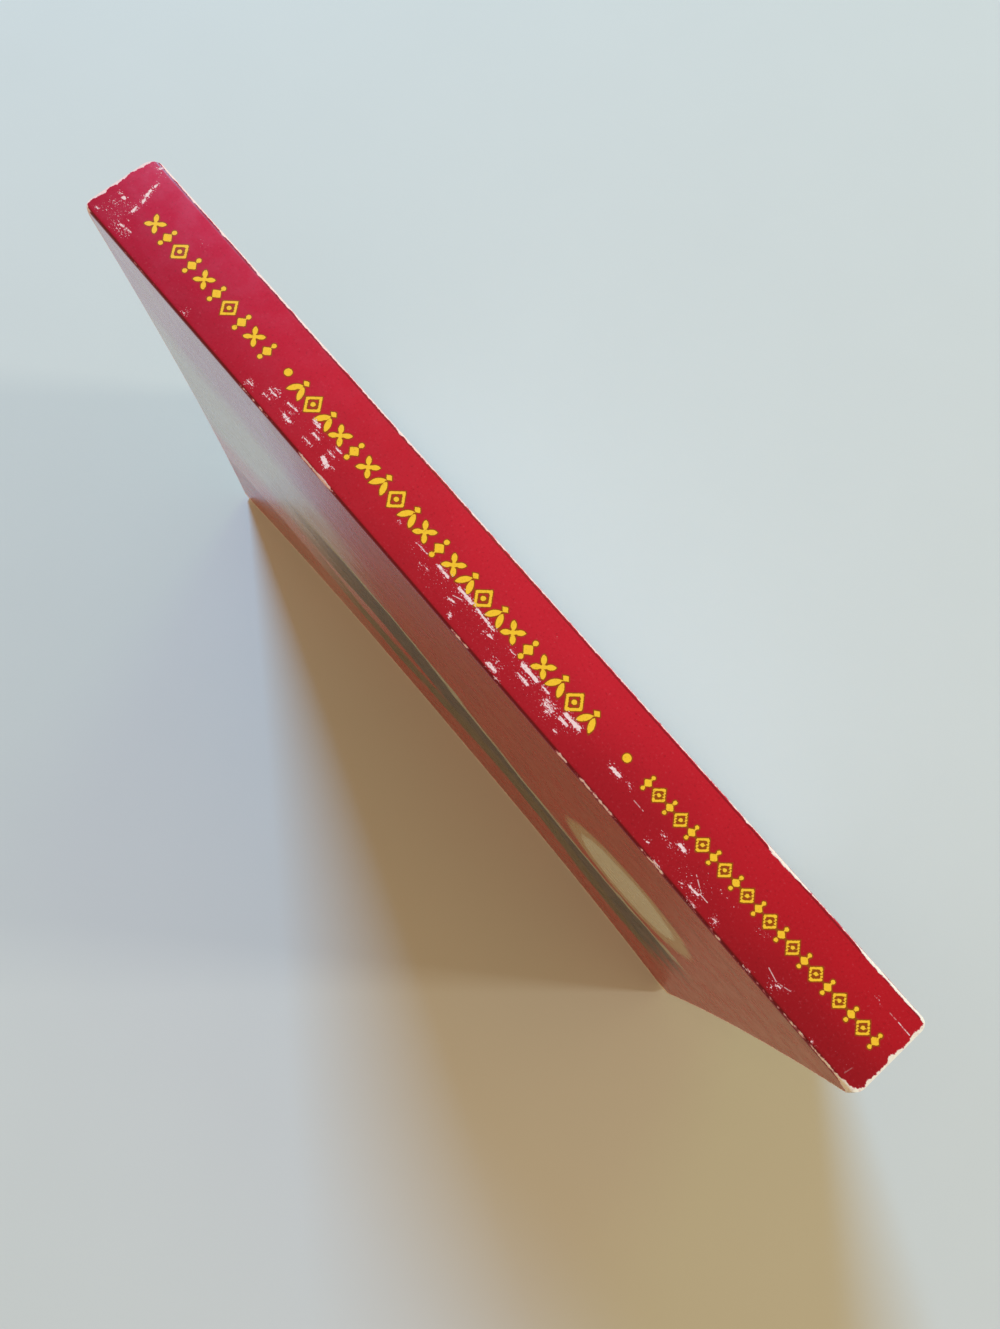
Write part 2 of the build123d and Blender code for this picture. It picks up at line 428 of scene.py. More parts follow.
# Clouds of fine grains, given the same way
SPRAYS = [
    (-103.1, -4, 7, 6.5, 70, 0.38), (-98.7, -6.2, 6, 3, 0, 0.46),
    (-42.7, -4.3, 22, 5, 0, 0.24), (-5.8, -4.6, 14, 4, 0, 0.26),
    (12, -4.8, 42, 5.5, 0, 0.28), (2.1, -3.3, 6, 2, 0, 0.42),
    (7.1, -3.6, 4, 1.6, 0, 0.42), (15.5, -6.2, 4, 2.4, 0, 0.46),
    (27.3, -4.5, 5, 3.6, 0, 0.52), (31.3, -4.3, 4.5, 2.4, 0, 0.44),
    (63.8, -5.2, 14, 4.5, 0, 0.28), (70.2, -3.1, 8, 1.6, 0, 0.36),
    (78.8, -2.6, 5, 1.8, 0, 0.36), (87.2, -6, 5, 2.6, 0, 0.38),
    (101.8, -6.5, 6, 2.5, 0, 0.24), (-104.6, 7.4, 5, 2.4, 0, 0.36),
    (-84.8, 4, 6, 3, 0, 0.26), (18.5, 4.6, 3, 2, 0, 0.32),
]

# Thin scratches: middle along and across, length, turn in degrees, and how clear they are
SCRATCHES = [
    (66.8, -5.05, 3.2, -28, 0.7), (69, -6, 1.9, 0, 0.8), (85.5, -5.7, 2.5, -14, 0.65),
    (88.2, -5.6, 2.4, 18, 0.5), (105.8, 4.95, 2.6, -1, 0.9), (104.3, -6.5, 1.8, 80, 0.15),
    (1.8, -3.9, 2.2, 23, 0.8), (50.4, -4, 2.4, 0, 0.5), (103.3, 4.95, 1.6, 0, 0.3),
]
SCRATCH_WIDTH = 0.12

# How soft the edges of scuffs and sprays are, and the grains round a scuff: their share of what
# is rubbed off in it, and how far they reach
SCUFF_SOFT = 0.6
SPRAY_SOFT = 2.4
GRAIN_SHARE = 0.55
GRAIN_REACH = 0.9

# Where the bare line along the front fold lies across the card. Then, at places along the spine:
# half its width, how far it is shifted, and half the width of the lines at the foot of that fold
# and along the back fold
FRONT_LINE = FLAT_HALF + 0.7
FRONT_FOLD_WEAR = [
    (-108, 0.42), (-104, 0.38), (-95, 0.36), (-70, 0.34), (-60, 0.32), (-25, 0.3), (-18, 0.2),
    (0, 0.18), (20, 0.16), (40, 0.17), (58, 0.17), (69.5, 0.15), (70.5, 0.3), (77, 0.26),
    (82, 0.12), (91, 0.1), (93, 0.26), (104, 0.26), (108, 0.36),
]
FRONT_LINE_SHIFT = [
    (-108, 0.1), (-95, 0.05), (60, 0.05), (69.5, 0.05), (70.5, -0.2), (78, -0.15), (82, 0),
    (91, 0), (93, -0.2), (108, -0.2),
]
FRONT_FOOT_WEAR = [(-108, -1), (66, -1), (76, -0.1), (102, -0.1), (108, 0.2)]
BACK_FOLD_WEAR = [
    (-108, 0.3), (-104.5, 0.1), (-101, -0.1), (-94, -0.02), (-78, -0.04), (-70, -0.3), (-62, -0.2),
    (-57, 0.02), (-48, 0.0), (-41, -0.2), (-38, 0.3), (-30, 0.28), (-27, -0.2), (4, -0.2),
    (6, 0.2), (10, 0.16), (12, -0.2), (33, -0.2), (34, 0.2), (36, 0.18), (38, -0.15),
    (42, 0.16), (49, 0.18), (52, -0.15), (60, 0.18), (64, -0.05), (74, 0.14), (80, -0.1),
    (90, 0.12), (98, 0.06), (104, 0.3), (108, 0.7),
]

# How far the film has gone from the cut ends and from the four corners of the spine, and how
# much further at the head past the back fold
HEAD_EDGE_WEAR = 0.26
TAIL_EDGE_WEAR = 0.42
CORNER_WEAR = {(-1, 1): 0.7, (-1, -1): 1.3, (1, 1): 1.8, (1, -1): 2.1}
CORNER_STRETCH = 1.3
SIDE_HEAD_WEAR = 0.7
SIDE_HEAD_FADE = 0.8

# The same for the edges and outer corners of a cover, and how soon the wear at the head fades
# below the crease
COVER_EDGE_WEAR = 0.25
COVER_CORNER_WEAR = 3.0
CREASE_FADE = 5

# Wear is BARE at the edge of a bare spot, and grows inside it by a slope for each millimetre
BARE = 0.5
LINE_SLOPE = 2
TAIL_SLOPE = 1.6
CORNER_SLOPE = 1.2

# What makes those edges ragged: lines that wander, each with its pitch, seed and swing, and chips
# with their pitch and seed, the level of the line above which there is one, and their size
FRONT_RAGGED = [(1.7, 1, 0.4), (7.0, 13, 0.3)]
BACK_RAGGED = [(1.3, 3, 0.1), (0.5, 4, 0.06)]
FOOT_RAGGED = [(1.4, 12, 0.4)]
HEAD_RAGGED = [(1.3, 5, 1)]
TAIL_RAGGED = [(0.9, 6, 0.6)]
FRONT_CHIPS = (2.3, 8, 0.45, 0.5)
HEAD_CHIPS = (0.9, 9, 0.3, 0.4)
TAIL_CHIPS = (2.6, 7, 0.1, 1.3)


def capsule(x, across, place, middle, length, width, turn):
    """Depth inside a round-ended stroke, in millimetres, below zero outside it."""
    angle = math.radians(turn)
    u = (x - place) * math.cos(angle) + (across - middle) * math.sin(angle)
    v = -(x - place) * math.sin(angle) + (across - middle) * math.cos(angle)
    over = np.maximum(np.abs(u) - (length - width) / 2, 0)
    return width / 2 - np.hypot(over, v)


def scuff_values(x, across):
    """How much of the film is rubbed off in strokes, and how thick the grains lie round them."""
    rubbed = np.zeros(x.shape)
    grains = np.zeros(x.shape)
    for place, middle, length, width, turn, most in SCUFFS:
        inside = capsule(x, across, place, middle, length, width, turn)
        near = np.exp(-(np.minimum(inside, 0) / GRAIN_REACH) ** 2)
        rubbed = np.maximum(rubbed, most * smooth(0.5 + inside / SCUFF_SOFT))
        grains = np.maximum(grains, GRAIN_SHARE * most * near)
    for place, middle, length, width, turn, most in SPRAYS:
        inside = capsule(x, across, place, middle, length, width, turn)
        grains = np.maximum(grains, most * smooth(0.5 + inside / SPRAY_SOFT))
    return rubbed, grains


def ragged(x, value, lines):
    """A value with wandering lines on top of it."""
    for pitch, seed, swing in lines:
        value = value + swing * wander(x, pitch, seed)
    return value


def chips(x, pitch, seed, level, size):
    """Chips where a wandering line rises above a level."""
    return size * np.maximum(wander(x, pitch, seed) - level, 0)


def spine_wear(x, across, to_head, to_tail):
    """How bare the spine's card is: along both folds, at both cut ends and at the four corners."""
    middle = FRONT_LINE + knots(x, FRONT_LINE_SHIFT)
    front = knots(x, FRONT_FOLD_WEAR) * ragged(x, 1, FRONT_RAGGED) + chips(x, *FRONT_CHIPS)
    back = ragged(x, knots(x, BACK_FOLD_WEAR), BACK_RAGGED)
    foot = knots(x, FRONT_FOOT_WEAR) * ragged(x, 1, FOOT_RAGGED)
    head = HEAD_EDGE_WEAR * ragged(across, 1, HEAD_RAGGED) + chips(across, *HEAD_CHIPS)
    head = head + SIDE_HEAD_WEAR * smooth((-across - FOLD_MIDDLE) / SIDE_HEAD_FADE)
    tail = TAIL_EDGE_WEAR * (ragged(across, 1, TAIL_RAGGED) + chips(across, *TAIL_CHIPS))
    inside = [
        LINE_SLOPE * (front - np.abs(across - middle)),
        LINE_SLOPE * (back - np.abs(across + FOLD_MIDDLE)),
        LINE_SLOPE * (foot - np.abs(across - FOLD_END)),
        LINE_SLOPE * (head - to_head),
        TAIL_SLOPE * (tail - to_tail),
    ]
    for (end, side), size in CORNER_WEAR.items():
        to_end = to_head if end < 0 else to_tail
        away = np.hypot(to_end, CORNER_STRETCH * (FOLD_END - side * across))
        inside.append(CORNER_SLOPE * (size - away))
    return BARE + np.max(inside, axis=0)


def cover_wear(x, across):
    """The same for a cover, whose cut edges and outer corners have lost a little film."""
    to_end = HALF_LENGTH - np.abs(x)
    to_fore = EDGE_ACROSS - across
    by_crease = np.exp((SEAM_ACROSS - across) / CREASE_FADE)
    at_head = SIDE_HEAD_WEAR * by_crease * (x < 0)
    wear = BARE + COVER_EDGE_WEAR - np.minimum(to_end - at_head, to_fore)
    corner = COVER_CORNER_WEAR - np.hypot(to_end, to_fore)
    return np.maximum(wear, BARE + corner)


class Shader:
    """A material and its nodes. Each method adds nodes and gives back what comes out of them."""

    def __init__(self, name):
        self.material = bpy.data.materials.new(name)
        self.material.use_nodes = True
        self.tree = self.material.node_tree
        self.tree.nodes.clear()

    def add(self, kind, inputs, **settings):
        """One node, whose inputs are values or what other nodes give."""
        node = self.tree.nodes.new(kind)
        for key, value in settings.items():
            setattr(node, key, value)
        for key, value in inputs.items():
            socket = node.inputs[key]
            if isinstance(value, bpy.types.NodeSocket):
                self.tree.links.new(value, socket)
            else:
                socket.default_value = value
        return node

    def attribute(self, name, output="Fac"):
        """What is kept with the points of a mesh under a name."""
        return self.add("ShaderNodeAttribute", {}, attribute_name=name).outputs[output]

    def object_place(self):
        """Place in the object's own space, in metres."""
        return self.add("ShaderNodeTexCoord", {}).outputs["Object"]

    def split(self, vector):
        return self.add("ShaderNodeSeparateXYZ", {0: vector}).outputs

    def math(self, operation, a, b=0.0, c=0.0):
        return self.add("ShaderNodeMath", {0: a, 1: b, 2: c}, operation=operation).outputs[0]

    def plus(self, a, b):
        return self.math("ADD", a, b)

    def minus(self, a, b):
        return self.math("SUBTRACT", a, b)

    def times(self, a, b):
        return self.math("MULTIPLY", a, b)

    def larger(self, a, b):
        return self.math("MAXIMUM", a, b)

    def smaller(self, a, b):
        return self.math("MINIMUM", a, b)

    def size(self, a):
        return self.math("ABSOLUTE", a)

    def step(self, value, low, high, to_low=0.0, to_high=1.0):
        """Soft ramp from one share at a low value to another at a high one."""
        inputs = {0: value, 1: low, 2: high, 3: to_low, 4: to_high}
        return self.add("ShaderNodeMapRange", inputs, interpolation_type="SMOOTHSTEP").outputs[0]

    def noise(self, place, size, detail=2.0, roughness=0.5, stretch=1.0):
        """Noise with lumps of a size in the unit of the place, drawn out along its first axis."""
        share = (1 / (size * stretch), 1 / size, 1 / size)
        scaled = self.add("ShaderNodeVectorMath", {0: place, 1: share}, operation="MULTIPLY")
        inputs = {"Vector": scaled.outputs[0], "Scale": 1.0, "Detail": detail, "Roughness": roughness}
        return self.add("ShaderNodeTexNoise", inputs).outputs[0]

    def swung(self, noise, swing):
        """Noise about zero, with a swing."""
        return self.times(self.minus(noise, 0.5), swing)

    def mix(self, share, a, b):
        inputs = {0: share, 6: colour(a), 7: colour(b)}
        return self.add("ShaderNodeMix", inputs, data_type="RGBA").outputs[2]

    def layers(self, tone, *layers):
        """A tone with others laid over it, each given with a value and the ramp that shows it."""
        for value, ramp, layer in layers:
            tone = self.mix(self.step(value, *ramp), tone, layer)
        return tone

    def blend_values(self, share, a, b):
        return self.add("ShaderNodeMix", {0: share, 2: a, 3: b}, data_type="FLOAT").outputs[0]

    def bump(self, height, distance, strength=1.0, normal=None):
        """Relief as deep as a distance in metres."""
        inputs = {"Height": height, "Distance": distance, "Strength": strength}
        if normal is not None:
            inputs["Normal"] = normal
        return self.add("ShaderNodeBump", inputs).outputs[0]

    def finish(self, inputs):
        """The material, its surface set by the inputs."""
        shader = self.add("ShaderNodeBsdfPrincipled", inputs)
        output = self.add("ShaderNodeOutputMaterial", {})
        self.tree.links.new(shader.outputs[0], output.inputs[0])
        return self.material


def colour(value):
    """A colour with its alpha, or what a node gives."""
    return (*value, 1.0) if isinstance(value, tuple) else value


# Linear colours
# Red of the spine; the bluer red at the head is partly a painted lilac sheen on the film
RED_HEAD_AND_SHEEN = (0.58, 0.003, 0.05)
RED_MIDDLE = (0.6, 0.012, 0.03)
RED_TAIL = (0.5, 0.005, 0.016)
# Deep red for random clouds and for the painted shade towards the back fold
RED_CLOUD_AND_SHADE = (0.24, 0.002, 0.009)
# Dark red for fine specks of print and for the painted shade along the folds
RED_SPECK_AND_CREASE_SHADE = (0.14, 0.002, 0.008)
# Back cover at the head: mauve and mist, partly print and partly painted sheen and glare
MAUVE_AND_SHEEN = (0.48, 0.24, 0.4)
MIST_AND_GLARE = (0.56, 0.54, 0.56)
ROSE = (0.58, 0.26, 0.3)
BRICK = (0.4, 0.018, 0.014)
BRICK_DARK = (0.22, 0.01, 0.008)
FRONT_PALE = (0.92, 0.72, 0.61)
FRONT_DUSKY = (0.87, 0.65, 0.54)
FRONT_SOILED = (0.6, 0.42, 0.29)
YELLOW = (0.98, 0.6, 0.03)
YELLOW_THIN = (0.94, 0.47, 0.03)
YELLOW_EDGE = (0.3, 0.06, 0.004)
FIBRE_PINK = (0.93, 0.67, 0.67)
FIBRE_CREAM = (0.9, 0.79, 0.65)
FIBRE_FRONT = (0.95, 0.64, 0.56)
FIBRE_DIRT = (0.68, 0.31, 0.31)
PINK = (0.76, 0.22, 0.27)
CREAM = (0.62, 0.55, 0.38)
OLIVE = (0.07, 0.055, 0.022)
OLIVE_PALE = (0.4, 0.38, 0.26)
SLATE = (0.025, 0.03, 0.04)
TAN = (0.46, 0.29, 0.15)
INSIDE_WHITE = (0.8, 0.77, 0.7)
INSIDE_YELLOW = (0.72, 0.62, 0.44)
INSIDE_SPOT = (0.62, 0.52, 0.38)
CUT_PALE = (0.78, 0.7, 0.6)
CUT_SOILED = (0.6, 0.42, 0.34)
PAPER = (0.74, 0.66, 0.49)
PAPER_BROWN = (0.62, 0.47, 0.28)
PAPER_DARK = (0.5, 0.38, 0.24)
PAPER_GROUP = (0.42, 0.31, 0.18)
PAPER_FLECK = (0.45, 0.34, 0.2)
GLUE_PALE = (0.7, 0.52, 0.28)
GLUE_DARK = (0.5, 0.32, 0.13)
FLOOR = (0.62, 0.62, 0.62)
FLOOR_DARK = (0.6, 0.6, 0.6)

# Noises: size of the lumps, detail, roughness and stretch. Sizes are millimetres on the card and
# the leaves, and metres on adhesive and floor.
PRINT_SPECKS = (0.55, 4, 0.75)
RAGS = (0.7, 3, 0.65, 1.6)
STREAKS = (0.34, 3, 0.65, 5)
GRAINS = (0.3, 2, 0.6, 1.4)
DIRT = (0.5, 3, 0.7)
FILM_WAVES = (9, 2)
ORANGE_PEEL = (0.9, 2)
GLOSS_CLOUDS = (5, 3, 0.6)
SCRATCH_GAPS = (0.6, 2, 0.6)
RED_CLOUDS = (16, 3, 0.6, 2)
INK_WOBBLE = (0.3, 2)
INK_PATCHES = (0.4, 2)
FRONT_CLOUDS = (22, 3, 0.6)
FRONT_BLOTCHES = (4, 4, 0.7)
BRUSH = (6, 4, 0.6, 3)
DRY_BRUSH = (2.5, 3, 0.6, 7)
INSIDE_SPOTS = (3, 4, 0.7)
INSIDE_FIBRE = (0.25, 3, 0.7, 3)
CUT_BLOTCHES = (1.5, 3, 0.7)
CUT_GRAIN = (0.15, 2)
LEAF_SHADES = (0.7, 0)
LEAF_GROUPS = (7, 3, 0.7)
LEAF_FLECKS = (0.9, 3, 0.7)
LEAF_GRAIN = (0.4, 3, 0.7)
GLUE_CLOUDS = (0.002, 3, 0.6)
GLUE_BUBBLES = (0.0006, 1)
FLOOR_CLOUDS = (0.05, 3, 0.6)
FLOOR_GRAIN = (0.0012, 2)

# Ramps: a value where one starts and one where it ends, and the shares at both, which are 0 and 1
# where none are given. First where the red ends at the prints of the covers.
BACK_PRINT = (-8.85, -9.15)
FRONT_PRINT = (10.2, 10.5)
PALE_SPECKS = (0.58, 0.74, 0, 0.22)
DARK_SPECKS = (0.46, 0.3, 0, 0.4)

# From wear, scuff and spray to bare fibre, and to thin film
BARE_RAMPS = ((0.5, 0.58), (0.52, 0.62), (0.64, 0.74, 0, 0.85))
THIN_RAMPS = ((0.3, 0.55), (0.34, 0.58), (0.54, 0.74))
THIN_SHARE = 0.7

# The red ink: from the head, where its bluer red is partly a painted lilac sheen, to the middle and on to
# the tail
RED_FROM_HEAD = (-108, -20)
RED_TO_TAIL = (10, 108)
# Painted shade along both folds: where it lies across the card, and its ramps at the front and back fold
CREASE_SHADE_PLACE = FLAT_HALF + 0.2
FRONT_CREASE_SHADE = (0.35, 0.05, 0, 0.7)
BACK_CREASE_SHADE = (0.5, 0.2, 0, 0.85)

# The yellow ink, from its edge, and the rim round it
YELLOW_INK = (0.04, -0.02)
YELLOW_RIM = (0.3, 0.12)

# The back cover's print, by height above the fore edge, by place along the book or by noise. Its mist and
# mauve at the head are partly a painted reflection.
MAUVE_ABOVE = (92, 116)
ROSE_BELOW = (60, 40)
OLIVE_WISPS = (0.56, 0.72, 0, 0.5)
DARK_STREAKS = (0.4, 0.7, 0, 0.6)
MIST_AND_GLARE_TO_DUSK = (-62, -16)
SUN_X = 66
SUN_HEIGHT = 84
SUN_HALO = (22, 18.5)
SUN_DISC = (16, 14.5)

# Its waves: middle height and half width of the band, swing, length and phase of the wave, and
# how soft its edges are. The dunes follow each other from far to near, each with its ink.
DUNES = [
    ((54, 13, 9, 170, 2.6, 1.6), SLATE),
    ((67, 1.8, 9, 170, 2.6, 1), OLIVE_PALE),
    ((36, 8, 7, 120, 0.2, 1.4), OLIVE),
]
FORE_WAVE = (8, 15, 6, 210, 4.4, 1.6)


def printed_card(name):
    """Laminated face of the card: ink under clear film, and bare fibre where the film is gone."""
    shader = Shader(name)
    place = shader.attribute("card", "Vector")
    x, across, _ = shader.split(place)
    ink = card_ink(shader, place, x, across)
    grain = shader.noise(place, *GRAINS)
    worn = worn_values(shader, place, grain)
    bare = shader.larger(film_gone(shader, worn, BARE_RAMPS), scratches(shader, place, x, across))
    thin = shader.times(film_gone(shader, worn, THIN_RAMPS), THIN_SHARE)
    tone = shader.mix(thin, ink, PINK)
    tone = shader.mix(bare, tone, fibre_tone(shader, place, x, across, worn[0]))
    gloss = shader.step(shader.noise(place, *GLOSS_CLOUDS), 0.3, 0.7, 0.22, 0.29)
    clear = shader.times(shader.minus(1.0, bare), clear_film(shader, x, across))
    return shader.finish({
        "Base Color": tone,
        "Roughness": shader.blend_values(bare, gloss, 0.85),
        "Normal": film_relief(shader, place, across, bare, grain),
        "IOR": 1.30,
        "Coat Weight": clear,
        "Coat Roughness": 0.1,
    })


def card_ink(shader, place, x, across):
    """All the ink on the card, with its fine specks and the painted shade along its folds."""
    red = red_ground(shader, place, x, across)
    back = back_design(shader, place, x, across)
    front = front_design(shader, place, x, across)
    ink = shader.layers(red, (across, BACK_PRINT, back), (across, FRONT_PRINT, front))
    ink = painted_fold_shade(shader, across, ornaments(shader, place, ink))
    specks = shader.noise(place, *PRINT_SPECKS)
    return shader.layers(ink, (specks, PALE_SPECKS, PINK), (specks, DARK_SPECKS, RED_SPECK_AND_CREASE_SHADE))


def worn_values(shader, place, grain):
    """Wear along folds and edges, streaky scuffs, and grains round them, with ragged edges."""
    rag = shader.noise(place, *RAGS)
    streak = shader.noise(place, *STREAKS)
    wear = shader.plus(shader.attribute("wear"), shader.swung(rag, swing=1.5))
    scuff = shader.plus(shader.attribute("scuff"), shader.swung(streak, swing=1.2))
    scuff = shader.plus(scuff, shader.swung(grain, swing=0.9))
    spray = shader.plus(shader.attribute("spray"), shader.swung(grain, swing=2.0))
    return wear, scuff, spray


def film_gone(shader, worn, ramps):
    """How far the film is gone: the most that wear, scuff or spray gives, each by its ramp."""
    wear, scuff, spray = [shader.step(value, *ramp) for value, ramp in zip(worn, ramps)]
    return shader.larger(shader.larger(wear, scuff), spray)


def fibre_tone(shader, place, x, across, wear):
    """Bare fibre: pink, warmer along the front fold, cream at worn edges towards the tail, dirty."""
    edge = shader.step(wear, 0.5, 0.7)
    front = shader.times(edge, shader.step(across, 7.4, 8.2))
    cream = shader.times(edge, shader.step(x, 30.0, 106.0))
    tone = shader.mix(cream, shader.mix(front, FIBRE_PINK, FIBRE_FRONT), FIBRE_CREAM)
    return shader.layers(tone, (shader.noise(place, *DIRT), (0.45, 0.75, 0, 0.6), FIBRE_DIRT))


def film_relief(shader, place, across, bare, grain):
    """The spine a little crowned, waves and a fine orange peel in the film, torn fibre below it."""
    off_middle = shader.times(shader.smaller(shader.size(across), HALF_SPINE), 1 / HALF_SPINE)
    crown = shader.times(shader.times(off_middle, off_middle), -SPINE_CROWN * MM)
    normal = shader.bump(crown, 1.0)
    waves = shader.times(shader.noise(place, *FILM_WAVES), 0.5)
    peel = shader.times(shader.noise(place, *ORANGE_PEEL), 0.03)
    normal = shader.bump(shader.plus(waves, peel), 0.0002, 0.5, normal)
    torn = shader.minus(shader.times(grain, shader.times(bare, 0.6)), bare)
    return shader.bump(torn, 0.00006, 0.7, normal)


def clear_film(shader, x, across):
    """Share of unworn gloss: hands have dulled it but on the head half of the covers."""
    on_cover = shader.step(shader.size(across), 8.6, 9.8)
    return shader.times(on_cover, shader.step(x, -22.0, -58.0, 0.0, 0.5))


def scratches(shader, place, x, across):
    """Thin broken lines scratched through the film."""
    found = 0.0
    for middle_x, middle_across, length, turn, clear in SCRATCHES:
        cos = math.cos(math.radians(turn))
        sin = math.sin(math.radians(turn))
        u = shader.minus(shader.times(x, cos), cos * middle_x + sin * middle_across)
        u = shader.math("MULTIPLY_ADD", across, sin, u)
        v = shader.minus(shader.times(across, cos), cos * middle_across - sin * middle_x)
        v = shader.math("MULTIPLY_ADD", x, -sin, v)
        past_end = shader.larger(shader.minus(shader.size(u), length / 2), 0.0)
        away = shader.plus(shader.size(v), past_end)
        line = shader.step(away, SCRATCH_WIDTH, SCRATCH_WIDTH / 3, 0.0, clear)
        found = shader.larger(found, line)
    gaps = shader.step(shader.noise(place, *SCRATCH_GAPS), 0.36, 0.52)
    return shader.times(found, gaps)


def above_fore_edge(shader, across):
    """Distance from the fore edge, up the flattened card."""
    return shader.minus(EDGE_ACROSS, shader.size(across))


def from_cut_edge(shader, x, height):
    """Distance to the nearest cut edge: head, tail or fore edge."""
    to_end = shader.minus(HALF_LENGTH, shader.size(x))
    return shader.smaller(to_end, height)


def red_ground(shader, place, x, across):
    """Red ink of the spine and its folds, darker towards the tail, with painted shade towards the back fold
    and random darker clouds.
    """
    tone = shader.layers(RED_HEAD_AND_SHEEN, (x, RED_FROM_HEAD, RED_MIDDLE), (x, RED_TO_TAIL, RED_TAIL))
    # Painted shade: darker towards the back fold, and more so towards the tail, where the crowned spine
    # turns from the light
    shade = shader.times(shader.step(across, 8.0, -9.0), shader.step(x, 0.0, 90.0, 0.42, 0.62))
    cloud = shader.step(shader.noise(place, *RED_CLOUDS), 0.35, 0.7, 0.0, 0.14)
    return shader.mix(shader.plus(shade, cloud), tone, RED_CLOUD_AND_SHADE)


def ornaments(shader, place, ground):
    """The ornaments in yellow, with a brown line where the two inks meet."""
    wobble = shader.swung(shader.noise(place, *INK_WOBBLE), swing=0.16)
    distance = shader.plus(shader.attribute("ink"), wobble)
    patchy = shader.mix(shader.noise(place, *INK_PATCHES), YELLOW, YELLOW_THIN)
    return shader.layers(ground, (distance, YELLOW_RIM, YELLOW_EDGE), (distance, YELLOW_INK, patchy))


def painted_fold_shade(shader, across, ground):
    """Painted shade along both folds: a dark red line that stands in for the shade of the creases."""
    off_front = shader.size(shader.minus(across, CREASE_SHADE_PLACE))
    off_back = shader.size(shader.plus(across, FOLD_MIDDLE))
    return shader.layers(ground, (off_front, FRONT_CREASE_SHADE, RED_SPECK_AND_CREASE_SHADE), (off_back, BACK_CREASE_SHADE, RED_SPECK_AND_CREASE_SHADE))


def front_design(shader, place, x, across):
    """Plain pale print of the front cover, a little cloudy and soiled towards its cut edges."""
    cloud = shader.noise(place, *FRONT_CLOUDS)
    blotch = shader.swung(shader.noise(place, *FRONT_BLOTCHES), swing=14.0)
    soil = shader.plus(from_cut_edge(shader, x, above_fore_edge(shader, across)), blotch)
    return shader.layers(FRONT_PALE, (cloud, (0.35, 0.7), FRONT_DUSKY),
                         (soil, (12, -2, 0, 0.45), FRONT_SOILED))


def wave_band(shader, x, height, band):
    """Share of a band that runs along the book in slow waves."""
    middle, half_width, swing, length, phase, soft = band
    angle = shader.plus(shader.times(x, 2 * math.pi / length), phase)
    wave = shader.times(shader.math("SINE", angle), swing)
    off = shader.size(shader.minus(shader.minus(height, middle), wave))
    return shader.step(off, half_width + soft, half_width - soft)


def back_design(shader, place, x, across):
    """Painted dunes in slate and olive: brick-red sky, a pale round sun, and mist at the head, partly
    painted glare.
    """
    height = above_fore_edge(shader, across)
    brush = shader.noise(place, *BRUSH)
    streak = shader.noise(place, *DRY_BRUSH)
    painted = shader.plus(height, shader.swung(brush, swing=12.0))
    along = shader.plus(x, shader.swung(brush, swing=30.0))
    # The pale mist and mauve at the head are partly print and partly a painted reflection: glare of the lit
    # floor on the glossy cover
    mist_and_glare = shader.layers(MIST_AND_GLARE, (painted, MAUVE_ABOVE, MAUVE_AND_SHEEN), (painted, ROSE_BELOW, ROSE),
                         (brush, OLIVE_WISPS, OLIVE_PALE))
    dusk = shader.layers(BRICK, (streak, DARK_STREAKS, BRICK_DARK))
    sun_x = shader.minus(x, SUN_X)
    sun_z = shader.minus(height, SUN_HEIGHT)
    squares = shader.plus(shader.times(sun_x, sun_x), shader.times(sun_z, sun_z))
    from_sun = shader.plus(shader.math("SQRT", squares), shader.swung(streak, swing=4.0))
    ink = shader.layers(mist_and_glare, (along, MIST_AND_GLARE_TO_DUSK, dusk), (from_sun, SUN_HALO, TAN),
                        (from_sun, SUN_DISC, CREAM))
    in_dunes = shader.times(shader.step(along, -74.0, -40.0), shader.step(along, 100.0, 84.0))
    for band, tone in DUNES:
        dune = wave_band(shader, x, painted, band)
        ink = shader.mix(shader.times(dune, in_dunes), ink, tone)
    return shader.mix(wave_band(shader, x, painted, FORE_WAVE), ink, dusk)


def card_inside(name):
    """Uncoated back of the card: white, with fibre and a little yellowing towards its edges."""
    shader = Shader(name)
    place = shader.attribute("card", "Vector")
    x, across, _ = shader.split(place)
    to_edge = from_cut_edge(shader, x, above_fore_edge(shader, across))
    spots = shader.noise(place, *INSIDE_SPOTS)
    tone = shader.layers(INSIDE_WHITE, (to_edge, (22, 0, 0, 0.8), INSIDE_YELLOW),
                         (spots, (0.45, 0.75, 0, 0.25), INSIDE_SPOT))
    normal = shader.bump(shader.noise(place, *INSIDE_FIBRE), 0.00005, 0.5)
    return shader.finish({"Base Color": tone, "Roughness": 0.8, "Normal": normal})


def card_edge(name):
    """Cut edge of the card, pale and a little soiled."""
    shader = Shader(name)
    place = shader.attribute("card", "Vector")
    tone = shader.layers(CUT_PALE, (shader.noise(place, *CUT_BLOTCHES), (0.4, 0.7), CUT_SOILED))
    normal = shader.bump(shader.noise(place, *CUT_GRAIN), 0.00004, 0.6)
    return shader.finish({"Base Color": tone, "Roughness": 0.85, "Normal": normal})


